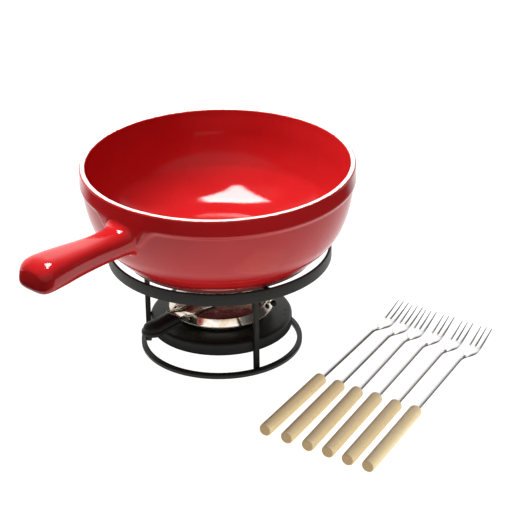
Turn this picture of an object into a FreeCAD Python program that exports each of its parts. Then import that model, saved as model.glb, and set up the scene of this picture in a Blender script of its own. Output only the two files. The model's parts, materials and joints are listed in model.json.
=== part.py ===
"""Fondue pot set: a glazed caquelon on a three-legged stand, a burner with a sliding
shutter in its cover, and six long forks. FreeCAD macro, millimetres.

Frame: origin on the stand's axis at table level, +Z up, -Y to the front, +X to the right.
Headings are degrees about +Z from the front (-Y) towards the right (+X).
"""
import FreeCAD
import Part

import math
import os
import re

import Sketcher

DIMENSIONS = {
    # stand
    "bar_size": 4.5,
    "base_ring_outer": 72.2,
    "bar_round": 0.6,
    "bend_inner": 3.5,
    "arm_end": 96.35,
    "rest_height": 91.0,
    "top_ring_outer": 98.8,
    "top_ring_wall": 2.5,
    "top_ring_bottom": 86.0,
    "top_ring_height": 11.0,
    "front_leg_heading": 27.0,
    "tray_outer": 63.2,
    "tray_top": 30.2,
    "tray_skirt": 11.5,
    "tray_edge": 3.0,
    "tray_sheet": 1.2,
    # caquelon, heights above its own foot
    "pot_height": 85.0,
    "rim_outer": 120.0,
    "rim_inner": 115.0,
    "band_radius": 120.4,
    "band_low": 70.5,
    "band_step": 66.5,
    "rim_round": 1.6,
    "rim_arc": 1.7,
    "inner_rim_round": 1.2,
    "inner_rim_arc": 1.3,
    "shoulder_radius": 118.2,
    "belly_radius": 109.6,
    "belly_height": 30.0,
    "wall_arc": 105.0,
    "belly_arc": 60.0,
    "hip_arc": 85.0,
    "hip_radius": 102.2,
    "hip_height": 18.4,
    "foot_radius": 84.0,
    "foot_height": 2.2,
    "foot_step": 1.6,
    "foot_slope": 0.6,
    "wall": 6.2,
    "inner_wall_arc": 110.0,
    "inner_belly_arc": 60.0,
    "inner_belly_lift": 4.0,
    "cut_over": 5.0,
    "floor_radius": 58.0,
    "floor_height": 8.0,
    "pot_handle_heading": -44.5,
    # burner, heights above its own underside
    "burner_heading": -43.5,
    "burner_lift": 0.1,
    "cup_radius": 41.0,
    "cup_height": 11.0,
    "cup_round": 2.0,
    "sheet": 0.8,
    "flange_radius": 46.5,
    "flange_height": 7.3,
    "cover_top": 13.7,
    "cover_top_radius": 42.2,
    "cover_low_radius": 46.1,
    "cover_gap": 0.1,
    "cover_edge": 1.5,
    "cover_edge_drop": 1.2,
    "cover_edge_arc": 1.8,
    "slot_inner": 38.0,
    "slot_outer": 54.0,
    "slot_margin": 4.0,
    "slot_clearance": 0.2,
    "vent_inner": 4.5,
    "vent_outer": 13.0,
    "vent_angle": 56.0,
    "pivot_radius": 1.5,
    "pivot_head": 3.0,
    "pivot_head_height": 0.8,
    "pivot_gap": 0.15,
    "running_gap": 0.06,
    "shutter_radius": 39.5,
    "shutter_top": 12.6,
    "knob_heading": 76.0,
    "knob_travel": 60.0,
    "stem_radius": 0.8,
    "stem_height": 11.9,
    "knob_reach": 48.1,
    "knob_radius": 2.9,
    "knob_cover": 1.5,
    "strip_width": 17.0,
    "strip_flange": 3.0,
    "strip_start": 16.0,
    "strip_rise": 3.5,
    "tongue_width": 12.0,
    "tongue_end": 82.5,
    "grip_start": 59.5,
    "grip_end": 96.5,
    "grip_width": 20.0,
    "grip_bottom": 12.6,
    "grip_thick": 9.6,
    "grip_bevel": 3.6,
    "grip_soft": 1.2,
    "grip_mouth": 2.0,
    # forks
    "wood_radius": 5.7,
    "wood_length": 99.5,
    "wood_near_round": 1.0,
    "wood_far_round": 2.5,
    "tang_depth": 45.0,
    "shaft_radius": 1.6,
    "neck_start": 196.0,
    "neck_end": 214.0,
    "fork_length": 259.3,
    "blade": 1.8,
    "tip_blade": 1.0,
    "tip_lift": 4.6,
    "neck_arc": 20.0,
    "neck_rise": 1.25,
    "head_flat": 8.0,
    "head_arc": 150.0,
    "flare_arc": 11.0,
    "shoulder_arc": 8.0,
    "shoulder_half": 6.9,
    "tine_pitch": 5.2,
    "slit_start": 230.0,
    "slit_half": 1.1,
    "tine_tip_half": 0.55,
}

# distance from the pot's axis: width, thickness, height of the middle, corner radius
HANDLE_SECTIONS = {
    "root": (108.0, 40.0, 28.0, 54.8, 8.0),
    "neck": (124.0, 31.0, 24.5, 54.8, 8.0),
    "waist": (138.0, 28.8, 22.3, 54.1, 8.0),
    "middle": (165.0, 31.6, 23.0, 55.1, 8.0),
    "end": (207.5, 40.6, 25.4, 56.4, 8.5),
    "nose": (216.5, 34.0, 24.0, 56.0, 8.0),
    "tip": (221.0, 16.0, 14.0, 54.2, 6.0),
}

# near end of each fork on the table (x, y) and its heading, counted from the back (+Y)
FORK_PLACES = [
    (33.9, -169.0, 31.3),
    (51.3, -182.3, 29.9),
    (68.1, -195.2, 28.6),
    (84.0, -206.1, 28.4),
    (99.6, -218.8, 28.4),
    (115.4, -229.8, 28.4),
]

doc = FreeCAD.newDocument("fondue_pot_set")
dims = doc.addObject("Spreadsheet::Sheet", "dims")
sub_parts = []


def fill_sheet(values):
    """Write every driving dimension as a plain number with an alias."""
    for row, (alias, number) in enumerate(values.items(), start=1):
        dims.set(f"A{row}", alias)
        dims.set(f"B{row}", str(number))
        dims.setAlias(f"B{row}", alias)
    doc.recompute()


def all_dimensions():
    """The named sizes, with the handle sections and the fork places as cells of their own."""
    values = dict(DIMENSIONS)
    for name, section in HANDLE_SECTIONS.items():
        fields = ("reach", "width", "thick", "height", "corner")
        for field, number in zip(fields, section):
            values[f"handle_{name}_{field}"] = number
    for number, place in enumerate(FORK_PLACES, start=1):
        for field, coordinate in zip(("x", "y", "heading"), place):
            values[f"fork_{number}_{field}"] = coordinate
    return values


def size(expression):
    """Current value of an expression in spreadsheet cells."""
    return float(dims.evalExpression(expression))


def bind(target, prop, expression):
    """Bind one property to spreadsheet cells."""
    target.setExpression(prop, expression)


def cell(expression):
    """Prefix the spreadsheet's name to every alias in a short expression."""
    def named(match):
        word = match.group(0)
        return f"dims.{word}" if word in dimension_names else word

    return re.sub(r"[A-Za-z]\w*", named, expression)


def new_body(name):
    return doc.addObject("PartDesign::Body", name)


def new_sketch(body, name, plane, offset=None):
    """A sketch on one of the body's own origin planes, moved along its normal by offset."""
    sketch = body.newObject("Sketcher::SketchObject", name)
    role = f"{plane}_Plane"
    support = next(item for item in body.Origin.OriginFeatures if item.Role == role)
    sketch.AttachmentSupport = [(support, "")]
    sketch.MapMode = "FlatFace"
    if offset:
        bind(sketch, "AttachmentOffset.Base.z", cell(offset))
    return sketch


def arc_between(start, end, radius, side):
    """Arc from start to end; side +1 bulges to the right of the way, -1 to the left."""
    middle = (start + end) * 0.5
    way = end - start
    half = way.Length / 2
    way.normalize()
    left = FreeCAD.Vector(-way.y, way.x, 0)
    centre = middle + left * side * math.sqrt(max(radius**2 - half**2, 0.0))
    first, last = (start, end) if side > 0 else (end, start)
    angles = [math.atan2(point.y - centre.y, point.x - centre.x) for point in (first, last)]
    circle = Part.Circle(centre, FreeCAD.Vector(0, 0, 1), radius)
    return Part.ArcOfCircle(circle, angles[0], angles[1])


def outline(sketch, corners, arcs=None, closed=True):
    """Draw a chain of edges through corners, each an (x, y) pair of expressions.
    arcs maps a corner's index to (radius, side) of the arc that leaves it.
    """
    arcs = arcs or {}
    points = [FreeCAD.Vector(size(cell(x)), size(cell(y)), 0) for x, y in corners]
    count = len(points) if closed else len(points) - 1
    starts = []
    ends = []
    for index in range(count):
        start = points[index]
        end = points[(index + 1) % len(points)]
        if index in arcs:
            radius, side = arcs[index]
            edge = sketch.addGeometry(arc_between(start, end, size(cell(radius)), side), False)
            starts.append((edge, 1 if side > 0 else 2))
            ends.append((edge, 2 if side > 0 else 1))
            number = sketch.addConstraint(
                Sketcher.Constraint("Radius", edge, size(cell(radius))))
            bind(sketch, f"Constraints[{number}]", cell(radius))
        else:
            edge = sketch.addGeometry(Part.LineSegment(start, end), False)
            starts.append((edge, 1))
            ends.append((edge, 2))
    for index in range(count if closed else count - 1):
        joint = ends[index] + starts[(index + 1) % count]
        sketch.addConstraint(Sketcher.Constraint("Coincident", *joint))
    places = starts if closed else starts + [ends[-1]]
    for (edge, end_point), corner, point in zip(places, corners, points):
        for kind, expression, value in zip(("DistanceX", "DistanceY"), corner, point):
            number = sketch.addConstraint(
                Sketcher.Constraint(kind, -1, 1, edge, end_point, value))
            bind(sketch, f"Constraints[{number}]", cell(expression))


def circle(sketch, x, y, radius):
    """A circle whose centre and radius are bound to expressions."""
    centre = FreeCAD.Vector(size(cell(x)), size(cell(y)), 0)
    normal = FreeCAD.Vector(0, 0, 1)
    edge = sketch.addGeometry(Part.Circle(centre, normal, size(cell(radius))), False)
    number = sketch.addConstraint(Sketcher.Constraint("Radius", edge, size(cell(radius))))
    bind(sketch, f"Constraints[{number}]", cell(radius))
    for kind, expression, value in (("DistanceX", x, centre.x), ("DistanceY", y, centre.y)):
        number = sketch.addConstraint(Sketcher.Constraint(kind, -1, 1, edge, 3, value))
        bind(sketch, f"Constraints[{number}]", cell(expression))


def rounded_rectangle(sketch, width, height, middle, corner):
    """A rectangle with round corners, centred on x = 0 and y = middle."""
    half_w = f"{width} * 0.5"
    half_h = f"{height} * 0.5"
    left = f"0 - {half_w}"
    low = f"{middle} - {half_h}"
    high = f"{middle} + {half_h}"
    corners = [
        (f"{left} + {corner}", low),
        (f"{half_w} - {corner}", low),
        (half_w, f"{low} + {corner}"),
        (half_w, f"{high} - {corner}"),
        (f"{half_w} - {corner}", high),
        (f"{left} + {corner}", high),
        (left, f"{high} - {corner}"),
        (left, f"{low} + {corner}"),
    ]
    outline(sketch, corners, {index: (corner, 1) for index in (1, 3, 5, 7)})


def revolve(body, name, corners, arcs=None, kind="Revolution"):
    """Turn a closed outline (radius, height) once round the body's Z axis."""
    sketch = new_sketch(body, f"{name}_profile", "XZ")
    outline(sketch, corners, arcs)
    turn = body.newObject(f"PartDesign::{kind}", name)
    turn.Profile = sketch
    turn.ReferenceAxis = (sketch, ["V_Axis"])
    turn.Angle = 360
    sketch.Visibility = False
    body.Tip = turn
    return turn


def pad(body, name, sketch, length, both_ways=False):
    """Pad a sketch by an expression, to one side or half to each."""
    feature = body.newObject("PartDesign::Pad", name)
    feature.Profile = sketch
    if both_ways:
        feature.SideType = "Symmetric"
    bind(feature, "Length", cell(length))
    body.Tip = feature
    return feature


def pocket(body, name, sketch, length=None, both_ways=False):
    """Cut a sketch by an expression, or right through when no length is given."""
    feature = body.newObject("PartDesign::Pocket", name)
    feature.Profile = sketch
    if both_ways:
        feature.SideType = "Symmetric"
    if length:
        bind(feature, "Length", cell(length))
    else:
        feature.Type = "ThroughAll"
    body.Tip = feature
    return feature


def dress_edges(body, base, name, amount, wanted, kind="Fillet"):
    """Fillet or chamfer the edges of base that pass the test."""
    doc.recompute()
    names = [f"Edge{index}" for index, edge in enumerate(base.Shape.Edges, start=1)
             if wanted(edge)]
    dressed = body.newObject(f"PartDesign::{kind}", name)
    dressed.Base = (base, names)
    bind(dressed, "Radius" if kind == "Fillet" else "Size", cell(amount))
    body.Tip = dressed
    return dressed


def is_round(edge):
    return isinstance(edge.Curve, Part.Circle)


def place(item, x=0.0, y=0.0, z=0.0, turn=0.0):
    """Move a sub-part from its own frame to the set's frame."""
    rotation = FreeCAD.Rotation(FreeCAD.Vector(0, 0, 1), turn)
    item.Placement = FreeCAD.Placement(FreeCAD.Vector(x, y, z), rotation)


def sub_part(item, node):
    """Name a finished sub-part after its node and file."""
    item.Label = node
    sub_parts.append(item)


def turn_to(heading):
    """Turn about +Z that points a piece drawn along +X to a heading from the front."""
    return heading - 90.0


# ---------------------------------------------------------------- stand


def build_base_ring():
    body = new_body("base_ring_body")
    inner = "base_ring_outer - bar_size"
    ring = revolve(body, "base_ring_turn", [
        (inner, "0"),
        ("base_ring_outer", "0"),
        ("base_ring_outer", "bar_size"),
        (inner, "bar_size"),
    ])
    dress_edges(body, ring, "base_ring_round", "bar_round", is_round)
    sub_part(body, "base_ring")


def build_top_ring():
    body = new_body("top_ring_body")
    inner = "top_ring_outer - top_ring_wall"
    high = "top_ring_bottom + top_ring_height"
    ring = revolve(body, "top_ring_turn", [
        (inner, "top_ring_bottom"),
        ("top_ring_outer", "top_ring_bottom"),
        ("top_ring_outer", high),
        (inner, high),
    ])
    dress_edges(body, ring, "top_ring_round", "bar_round", is_round)
    sub_part(body, "top_ring")


def build_leg(number, heading):
    """One square bar: a leg inside the base ring, bent outwards into the arm under the pot."""
    body = new_body(f"leg_{number}_body")
    sketch = new_sketch(body, f"leg_{number}_side", "XZ")
    leg_out = "base_ring_outer - bar_size"
    leg_in = "base_ring_outer - 2 * bar_size"
    arm_low = "rest_height - bar_size"
    outline(sketch, [
        (leg_in, "0"),
        (leg_out, "0"),
        (leg_out, f"{arm_low} - bend_inner"),
        (f"{leg_out} + bend_inner", arm_low),
        ("arm_end", arm_low),
        ("arm_end", "rest_height"),
        (f"{leg_out} + bend_inner", "rest_height"),
        (leg_in, f"{arm_low} - bend_inner"),
    ], {2: ("bend_inner", -1), 6: ("bend_inner + bar_size", 1)})
    pad(body, f"leg_{number}_pad", sketch, "bar_size", both_ways=True)
    place(body, turn=turn_to(heading))
    sub_part(body, f"leg_{number}")


def build_tray():
    """Shallow inverted pan that carries the burner, welded inside the legs."""
    body = new_body("tray_body")
    low = "tray_top - tray_skirt"
    skirt_in = "tray_outer - tray_sheet"
    edge_radius = "tray_outer - tray_edge"
    edge_height = "tray_top - tray_edge"
    revolve(body, "tray_turn", [
        ("0", "tray_top - tray_sheet"),
        (edge_radius, "tray_top - tray_sheet"),
        (skirt_in, edge_height),
        (skirt_in, low),
        ("tray_outer", low),
        ("tray_outer", edge_height),
        (edge_radius, "tray_top"),
        ("0", "tray_top"),
    ], {1: ("tray_edge - tray_sheet", -1), 5: ("tray_edge", 1)})
    sub_part(body, "burner_tray")


# ---------------------------------------------------------------- caquelon


def build_pot_outside():
    body = new_body("pot_outside_body")
    step_radius = "foot_radius + foot_step"
    step_height = "foot_height + foot_slope"
    revolve(body, "pot_outside_turn", [
        ("0", "0"),
        ("foot_radius", "0"),
        ("foot_radius", "foot_height"),
        (step_radius, step_height),
        ("hip_radius", "hip_height"),
        ("belly_radius", "belly_height"),
        ("shoulder_radius", "band_step"),
        ("band_radius", "band_low"),
        ("rim_outer", "pot_height - rim_round"),
        ("rim_outer - rim_round", "pot_height"),
        ("0", "pot_height"),
    ], {3: ("hip_arc", 1), 4: ("belly_arc", 1), 5: ("wall_arc", 1), 8: ("rim_arc", 1)})
    return body


def build_pot_inside():
    """The hollow: a flat floor that sweeps up into a wall of nearly even thickness."""
    body = new_body("pot_inside_body")
    mouth = "rim_inner + inner_rim_round - 0.1"
    revolve(body, "pot_inside_turn", [
        ("0", "floor_height"),
        ("floor_radius", "floor_height"),
        ("belly_radius - wall", "belly_height + inner_belly_lift"),
        ("shoulder_radius - wall", "band_step"),
        ("rim_inner", "pot_height - inner_rim_round"),
        (mouth, "pot_height"),
        (mouth, "pot_height + cut_over"),
        ("0", "pot_height + cut_over"),
    ], {1: ("inner_belly_arc", 1), 2: ("inner_wall_arc", 1), 4: ("inner_rim_arc", -1)})
    return body


def build_pot_handle():
    """Stub handle, one piece with the pot: a loft along +X through rounded rectangles."""
    body = new_body("pot_handle_body")
    sections = []
    for name in HANDLE_SECTIONS:
        key = f"handle_{name}"
        sketch = new_sketch(body, f"{key}_section", "YZ", f"{key}_reach")
        rounded_rectangle(sketch, f"{key}_width", f"{key}_thick", f"{key}_height",
                          f"{key}_corner")
        sections.append(sketch)
    loft = body.newObject("PartDesign::AdditiveLoft", "pot_handle_loft")
    loft.Profile = sections[0]
    loft.Sections = sections[1:]
    loft.Ruled = True
    body.Tip = loft
    place(body, turn=turn_to(size(cell("pot_handle_heading"))))
    return body


def build_caquelon():
    """Pot, band and handle are one ceramic piece, hollowed out last."""
    outside = build_pot_outside()
    handle = build_pot_handle()
    inside = build_pot_inside()
    fired = doc.addObject("Part::Fuse", "pot_and_handle")
    fired.Base = outside
    fired.Tool = handle
    hollow = doc.addObject("Part::Cut", "pot_hollowed")
    hollow.Base = fired
    hollow.Tool = inside
    bind(hollow, "Placement.Base.z", cell("rest_height"))
    sub_part(hollow, "caquelon")


# ---------------------------------------------------------------- burner


def burner_place(item, heading=0.0):
    """Stand a piece on the tray, drawn along +X and turned to a heading."""
    place(item, z=size(cell("tray_top + burner_lift")), turn=turn_to(heading))


def build_fuel_cup():
    """Cup for the fuel, with the flange that the cover sits on."""
    body = new_body("fuel_cup_body")
    low = "flange_height - sheet"
    revolve(body, "fuel_cup_turn", [
        ("0", "0"),
        ("cup_radius - cup_round", "0"),
        ("cup_radius", "cup_round"),
        ("cup_radius", low),
        ("flange_radius", low),
        ("flange_radius", "flange_height"),
        ("cup_radius", "flange_height"),
        ("cup_radius", "cup_height"),
        ("cup_radius - sheet", "cup_height"),
        ("cup_radius - sheet", "cup_round"),
        ("cup_radius - cup_round", "sheet"),
        ("0", "sheet"),
    ], {1: ("cup_round", 1), 9: ("cup_round - sheet", -1)})
    burner_place(body)
    sub_part(body, "fuel_cup")


def polar(reach, angle):
    """Expressions for the point at a distance and an angle in degrees."""
    return f"{reach} * cos({angle})", f"{reach} * sin({angle})"


def vent_corners(inner, outer, heading):
    """Corners of one vent, a sector of a ring, about a heading in the sheet's plane."""
    first = f"{heading} - vent_angle * 0.5"
    last = f"{heading} + vent_angle * 0.5"
    return [polar(inner, first), polar(outer, first), polar(outer, last), polar(inner, last)]


def cut_vents(body, name, top):
    """One sector cut down from top, repeated three times round the axis."""
    sketch = new_sketch(body, f"{name}_vent_sketch", "XY", top)
    arcs = {1: ("vent_outer", 1), 3: ("vent_inner", -1)}
    outline(sketch, vent_corners("vent_inner", "vent_outer", "0"), arcs)
    cut = pocket(body, f"{name}_vent", sketch, "sheet * 1.5")
    pattern = body.newObject("PartDesign::PolarPattern", f"{name}_vents")
    pattern.Originals = [cut]
    pattern.Axis = (sketch, ["N_Axis"])
    pattern.Angle = 360
    pattern.Occurrences = 3
    body.Tip = pattern
    return pattern


def build_cover():
    """Cover: flat top with three vents, conical skirt with the slot for the knob's stem."""
    body = new_body("cover_body")
    under = "cover_top - sheet"
    low = "flange_height + cover_gap"
    revolve(body, "cover_turn", [
        ("pivot_radius", under),
        ("cover_top_radius - cover_edge", under),
        ("cover_top_radius - sheet * 0.5", f"{under} - sheet"),
        ("cover_low_radius - sheet", low),
        ("cover_low_radius", low),
        ("cover_top_radius", "cover_top - cover_edge_drop"),
        ("cover_top_radius - cover_edge", "cover_top"),
        ("pivot_radius", "cover_top"),
    ], {5: ("cover_edge_arc", 1)})
    cut_vents(body, "cover", "cover_top + 0.1")
    slot_roof = "stem_height + stem_radius + slot_clearance"
    slot = new_sketch(body, "cover_slot_sketch", "XY", slot_roof)
    first = "knob_heading - burner_heading - slot_margin"
    last = "knob_heading - burner_heading + knob_travel + slot_margin"
    outline(slot, [
        polar("slot_inner", first),
        polar("slot_outer", first),
        polar("slot_outer", last),
        polar("slot_inner", last),
    ], {1: ("slot_outer", 1), 3: ("slot_inner", -1)})
    pocket(body, "cover_slot", slot, "2 * stem_radius + 2 * slot_clearance")
    burner_place(body, size(cell("burner_heading")))
    sub_part(body, "burner_cover")


def build_pivot():
    """Rivet that holds the shutter under the middle of the cover."""
    body = new_body("pivot_body")
    shank_low = "shutter_top - sheet - pivot_gap"
    revolve(body, "pivot_turn", [
        ("0", f"{shank_low} - pivot_head_height"),
        ("pivot_head", f"{shank_low} - pivot_head_height"),
        ("pivot_head", shank_low),
        ("pivot_radius", shank_low),
        ("pivot_radius", "cover_top"),
        ("pivot_head", "cover_top"),
        ("pivot_head * 0.7", "cover_top + pivot_head_height"),
        ("0", "cover_top + pivot_head_height"),
    ])
    burner_place(body)
    sub_part(body, "shutter_pivot")


def build_shutter():
    """Disc under the cover whose three vents uncover or close the cover's vents."""
    body = new_body("shutter_body")
    low = "shutter_top - sheet"
    revolve(body, "shutter_turn", [
        ("pivot_radius + running_gap", low),
        ("shutter_radius", low),
        ("shutter_radius", "shutter_top"),
        ("pivot_radius + running_gap", "shutter_top"),
    ])
    cut_vents(body, "shutter", "shutter_top + 0.1")
    burner_place(body, size(cell("burner_heading")))
    sub_part(body, "shutter_disc")


def build_stem():
    """Pin from the shutter's edge out through the slot in the cover's skirt."""
    stem = doc.addObject("Part::Cylinder", "stem_cylinder")
    bind(stem, "Radius", cell("stem_radius"))
    bind(stem, "Height", cell("knob_reach - knob_cover - shutter_radius"))
    heading = math.radians(turn_to(size(cell("knob_heading"))))
    outwards = FreeCAD.Vector(math.cos(heading), math.sin(heading), 0)
    start = outwards * size(cell("shutter_radius"))
    start.z = size(cell("tray_top + burner_lift + stem_height"))
    along = FreeCAD.Rotation(FreeCAD.Vector(0, 0, 1), outwards)
    stem.Placement = FreeCAD.Placement(start, along)
    sub_part(stem, "knob_stem")
    return start, outwards, along


def build_knob(start, outwards, along):
    """Ball knob with a blind hole for the end of the stem."""
    ball = doc.addObject("Part::Sphere", "knob_ball")
    bind(ball, "Radius", cell("knob_radius"))
    reach = size(cell("knob_reach - shutter_radius"))
    ball.Placement = FreeCAD.Placement(start + outwards * reach, along)
    hole = doc.addObject("Part::Cylinder", "knob_hole")
    bind(hole, "Radius", cell("stem_radius"))
    bind(hole, "Height", cell("knob_reach - knob_cover - shutter_radius"))
    hole.Placement = FreeCAD.Placement(start, along)
    knob = doc.addObject("Part::Cut", "knob_cut")
    knob.Base = ball
    knob.Tool = hole
    sub_part(knob, "shutter_knob")


def side_rectangle(sketch, start, end, low, height):
    """A rectangle in a side view, from start to end, upwards from low."""
    high = f"{low} + {height}"
    outline(sketch, [(start, low), (end, low), (end, high), (start, high)])


def strip_heights(lift):
    """Side view of the strip from its flat end on the cover to the grip, at a lift."""
    base = f"cover_top + {lift}"
    return [
        ("strip_start", base),
        ("cover_top_radius", base),
        ("grip_start - grip_mouth * 2", f"{base} + strip_rise"),
        ("grip_start + grip_mouth", f"{base} + strip_rise"),
    ]


def build_strip():
    """Pressed channel strip: flat on the cover, then rising outwards to the grip."""
    body = new_body("strip_body")
    side = new_sketch(body, "strip_side", "XZ")
    low = strip_heights("0")
    high = strip_heights("strip_flange")
    outline(side, low + high[::-1])
    pad(body, "strip_pad", side, "strip_width", both_ways=True)
    inside = new_sketch(body, "strip_inside", "XZ")
    floor = strip_heights("sheet")
    roof = strip_heights("strip_flange + 1")
    for heights in (floor, roof):
        heights[0] = ("strip_start - 1", heights[0][1])
        heights[-1] = ("grip_start + grip_mouth + 1", heights[-1][1])
    outline(inside, floor + roof[::-1])
    pocket(body, "strip_channel", inside, "strip_width - 2 * sheet", both_ways=True)
    tongue = new_sketch(body, "strip_tongue_sketch", "XZ")
    side_rectangle(tongue, "grip_start", "tongue_end", "cover_top + strip_rise", "sheet")
    pad(body, "strip_tongue", tongue, "tongue_width", both_ways=True)
    burner_place(body, size(cell("burner_heading")))
    sub_part(body, "handle_strip")


def grip_plan(sketch):
    """Plan of the grip along +X: square at the burner's side, round at the far end."""
    half = "grip_width * 0.5"
    far = f"grip_end - {half}"
    outline(sketch, [
        ("grip_start", f"0 - {half}"),
        (far, f"0 - {half}"),
        ("grip_end", "0"),
        (far, half),
        ("grip_start", half),
    ], {1: (half, 1), 2: (half, 1)})


def build_grip():
    """Moulded grip with bevelled top edges and a pocket for the strip's tongue."""
    body = new_body("grip_body")
    plan = new_sketch(body, "grip_plan", "XY", "grip_bottom")
    grip_plan(plan)
    block = pad(body, "grip_pad", plan, "grip_thick")
    top = size(cell("grip_bottom + grip_thick"))
    low = top - size(cell("grip_bevel + 0.1"))
    bevel = dress_edges(body, block, "grip_bevel", "grip_bevel",
                        lambda edge: edge.BoundBox.ZMin > top - 0.1, "Chamfer")
    dress_edges(body, bevel, "grip_soft", "grip_soft", lambda edge: edge.BoundBox.ZMin > low)
    strip_low = "cover_top + strip_rise"
    before = "grip_start - 1"
    tongue = new_sketch(body, "grip_tongue_sketch", "XZ")
    side_rectangle(tongue, before, "tongue_end", strip_low, "sheet")
    pocket(body, "grip_tongue_pocket", tongue, "tongue_width", both_ways=True)
    mouth = new_sketch(body, "grip_mouth_sketch", "XZ")
    side_rectangle(mouth, before, "grip_start + grip_mouth", strip_low, "strip_flange")
    pocket(body, "grip_mouth", mouth, "strip_width", both_ways=True)
    burner_place(body, size(cell("burner_heading")))
    sub_part(body, "burner_grip")


# ---------------------------------------------------------------- forks


def fork_place(item, number):
    """Lay a fork, drawn along +X on the table, at its own place."""
    key = f"fork_{number}"
    heading = size(cell(f"{key}_heading"))
    place(item, x=size(cell(f"{key}_x")), y=size(cell(f"{key}_y")), turn=90.0 - heading)


def build_fork_handle(number):
    """Turned wooden handle with a blind hole for the tang."""
    name = f"fork_{number}_wood"
    body = new_body(f"{name}_body")
    face = new_sketch(body, f"{name}_end", "YZ")
    circle(face, "0", "wood_radius", "wood_radius")
    rod = pad(body, f"{name}_pad", face, "wood_length")
    near = dress_edges(body, rod, f"{name}_near", "wood_near_round",
                       lambda edge: edge.BoundBox.XMax < 1)
    far_end = size(cell("wood_length"))
    dress_edges(body, near, f"{name}_far", "wood_far_round",
                lambda edge: edge.BoundBox.XMin > far_end - 0.01)
    bore = new_sketch(body, f"{name}_bore_sketch", "YZ", "wood_length")
    circle(bore, "0", "wood_radius", "shaft_radius")
    pocket(body, f"{name}_bore", bore, "tang_depth")
    fork_place(body, number)
    sub_part(body, f"fork_{number}_handle")


def cut_fork_flank(body, name, side):
    """Cut the plan of one flank (side 1 or -1): outside the neck and tines, and one slit."""
    waist = "shaft_radius * 1.25"
    past = "fork_length + 1"
    clear = "shoulder_half + 2"
    flank = [
        ("neck_start - 1", "shaft_radius * 0.95"),
        ("neck_end - head_flat", waist),
        ("neck_end + head_flat * 0.5", "shoulder_half - blade * 0.5"),
        ("neck_end + head_flat", "shoulder_half"),
        ("slit_start - 4", "shoulder_half"),
        (past, "tine_pitch + tine_tip_half"),
        (past, clear),
        ("neck_start - 1", clear),
    ]
    slit = [
        ("slit_start", "tine_pitch * 0.5 - slit_half * 0.6"),
        (past, "tine_tip_half"),
        (past, "tine_pitch - tine_tip_half"),
        ("slit_start", "tine_pitch * 0.5 + slit_half * 0.6"),
    ]
    flank_arcs = {1: ("flare_arc", side), 2: ("shoulder_arc", -side)}
    slit_arcs = {3: ("slit_half * 0.7", side)}
    for cut_name, points, arcs in (("flank", flank, flank_arcs), ("slit", slit, slit_arcs)):
        sketch = new_sketch(body, f"{name}_{cut_name}_sketch", "XY", "0 - 1")
        outline(sketch, [(x, f"{side} * ({y})") for x, y in points], arcs)
        pocket(body, f"{name}_{cut_name}", sketch).Reversed = True


def build_fork_prongs(number):
    """Steel shaft whose tang sits in the handle, with a cranked neck and three tines."""
    name = f"fork_{number}_steel"
    body = new_body(f"{name}_body")
    side = new_sketch(body, f"{name}_side", "XZ")
    neck_half = "shaft_radius * 0.95"
    neck_mid = "(neck_start + neck_end) * 0.5"
    drop_mid = "(wood_radius + blade * 0.5) * 0.5"
    outline(side, [
        ("neck_start", f"wood_radius - {neck_half}"),
        (neck_mid, f"{drop_mid} - neck_rise"),
        ("neck_end", "0"),
        ("neck_end + head_flat", "0"),
        ("fork_length", "tip_lift"),
        ("fork_length", "tip_lift + tip_blade"),
        ("neck_end + head_flat", "blade"),
        ("neck_end + blade * 0.3", "blade"),
        (f"{neck_mid} + blade * 0.4", f"{drop_mid} + neck_rise"),
        ("neck_start", f"wood_radius + {neck_half}"),
    ], {0: ("neck_arc", -1), 1: ("neck_arc", 1), 3: ("head_arc", 1), 5: ("head_arc + 1", -1),
        7: ("neck_arc", -1), 8: ("neck_arc", 1)})
    pad(body, f"{name}_pad", side, "shoulder_half * 2", both_ways=True)
    for flank, side_sign in (("left", 1), ("right", -1)):
        cut_fork_flank(body, f"{name}_{flank}", side_sign)
    shaft = new_sketch(body, f"{name}_shaft_sketch", "YZ", "wood_length - tang_depth")
    circle(shaft, "0", "wood_radius", "shaft_radius")
    pad(body, f"{name}_shaft", shaft, "neck_start + 0.5 - wood_length + tang_depth")
    fork_place(body, number)
    sub_part(body, f"fork_{number}_prongs")


# ---------------------------------------------------------------- build and write


def check_and_write():
    """Stop on a broken feature, then write one STEP file per sub-part."""
    doc.recompute()
    broken = [item.Name for item in doc.Objects
              if "Invalid" in item.State or "Error" in item.State]
    if broken:
        raise RuntimeError(f"broken features: {broken}")
    os.makedirs("parts", exist_ok=True)
    for item in sub_parts:
        shape = item.Shape
        if shape.isNull() or not shape.isValid() or len(shape.Solids) != 1:
            raise RuntimeError(f"{item.Label} is not one valid solid")
        shape.exportStep(f"parts/{item.Label}.step")
        box = shape.BoundBox
        print(f"{item.Label:20s} {shape.Volume:10.1f} mm3  z {box.ZMin:7.2f} {box.ZMax:7.2f}")


sheet_values = all_dimensions()
dimension_names = set(sheet_values)
fill_sheet(sheet_values)
build_base_ring()
build_top_ring()
for leg_number in (1, 2, 3):
    build_leg(leg_number, size(cell("front_leg_heading")) + 120.0 * (leg_number - 1))
build_tray()
build_caquelon()
build_fuel_cup()
build_cover()
build_pivot()
build_shutter()
build_knob(*build_stem())
build_strip()
build_grip()
for fork_number in range(1, len(FORK_PLACES) + 1):
    build_fork_handle(fork_number)
    build_fork_prongs(fork_number)
check_and_write()
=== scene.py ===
"""Fondue pot set: glazed caquelon on a three-legged stand, burner and six forks.

Lengths in the shape functions are millimetres in the set's own frame (origin on the stand's
axis at table level, -Y to the front), and `MM` turns them into the scene's metres.
Headings are degrees about +Z from the front (-Y) towards the right (+X).
"""
import json
import math

import bmesh
import bpy
import numpy as np
from mathutils import Matrix, Vector, noise

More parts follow.
